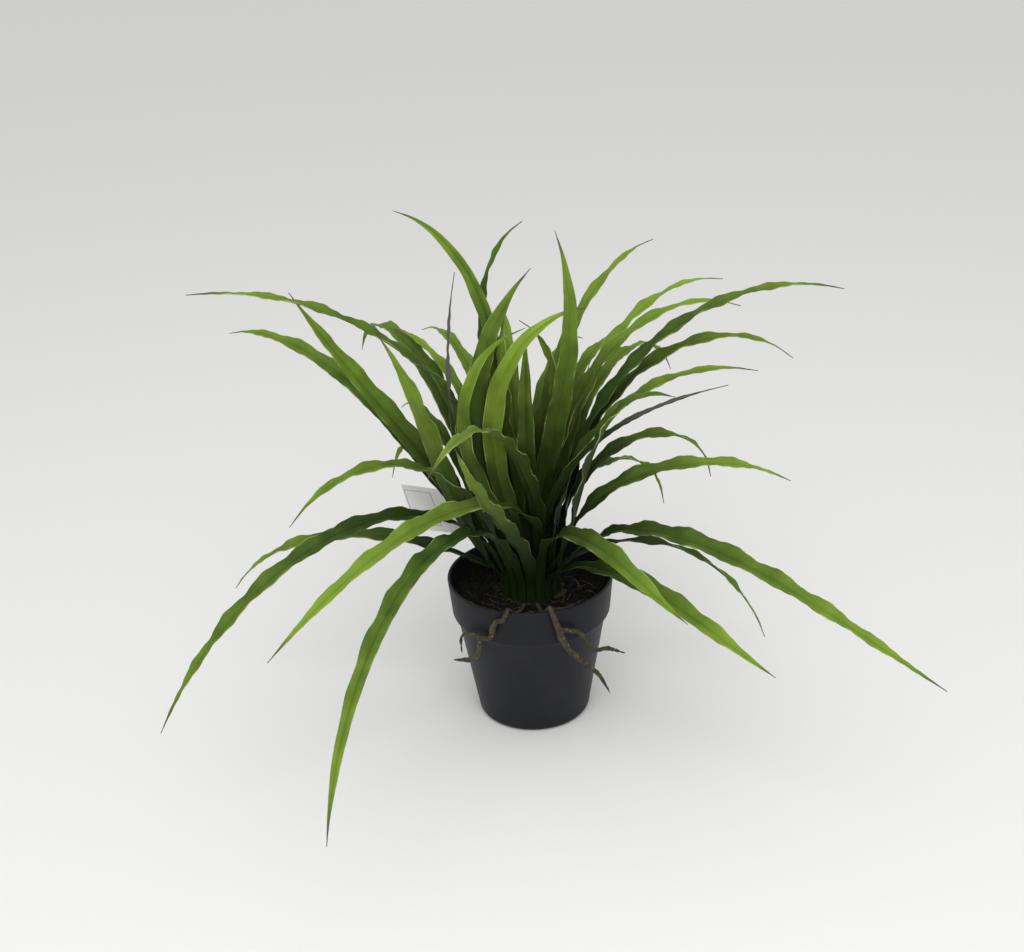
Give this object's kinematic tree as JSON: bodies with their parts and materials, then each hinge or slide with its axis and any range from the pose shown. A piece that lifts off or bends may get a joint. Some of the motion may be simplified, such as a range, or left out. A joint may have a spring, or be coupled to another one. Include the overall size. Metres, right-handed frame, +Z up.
{
  "type": "potted spider plant",
  "caption": "Spider plant with arching, wavy-edged strap leaves in a small tapered nursery pot of dark soil.",
  "frame": {"origin": "middle of the pot's flat underside, on the surface it stands on", "axes": "+Z up along the pot's axis, -Y towards the front, where the rootlets hang over the rim, +X to the right seen from the front"},
  "size_m": [0.4879, 0.5386, 0.3722],
  "materials": {
    "pot_plastic": "satin",
    "soil": "matte",
    "crown": "matte",
    "leaf": "satin",
    "root": "satin",
    "card": "matte",
    "nylon": "satin"
  },
  "bodies": {
    "root": {"pot": "pot_plastic", "soil": "soil", "crown": "crown", "leaf_01": "leaf", "leaf_02": "leaf", "leaf_03": "leaf", "leaf_04": "leaf", "leaf_05": "leaf", "leaf_06": "leaf", "leaf_07": "leaf", "leaf_08": "leaf", "leaf_09": "leaf", "leaf_10": "leaf", "leaf_11": "leaf", "leaf_12": "leaf", "leaf_13": "leaf", "leaf_14": "leaf", "leaf_15": "leaf", "leaf_16": "leaf", "leaf_17": "leaf", "leaf_18": "leaf", "leaf_19": "leaf", "leaf_20": "leaf", "leaf_21": "leaf", "leaf_22": "leaf", "leaf_23": "leaf", "leaf_24": "leaf", "leaf_25": "leaf", "leaf_26": "leaf", "leaf_27": "leaf", "leaf_28": "leaf", "leaf_29": "leaf", "leaf_30": "leaf", "leaf_31": "leaf", "leaf_32": "leaf", "leaf_33": "leaf", "leaf_34": "leaf", "leaf_35": "leaf", "leaf_36": "leaf", "leaf_37": "leaf", "leaf_38": "leaf", "leaf_39": "leaf", "leaf_40": "leaf", "leaf_41": "leaf", "leaf_42": "leaf", "leaf_43": "leaf", "leaf_44": "leaf", "leaf_45": "leaf", "leaf_46": "leaf", "leaf_47": "leaf", "leaf_48": "leaf", "root_left": "root", "root_right": "root", "tag_card": "card", "tag_loop": "nylon"}
  },
  "joints": []
}
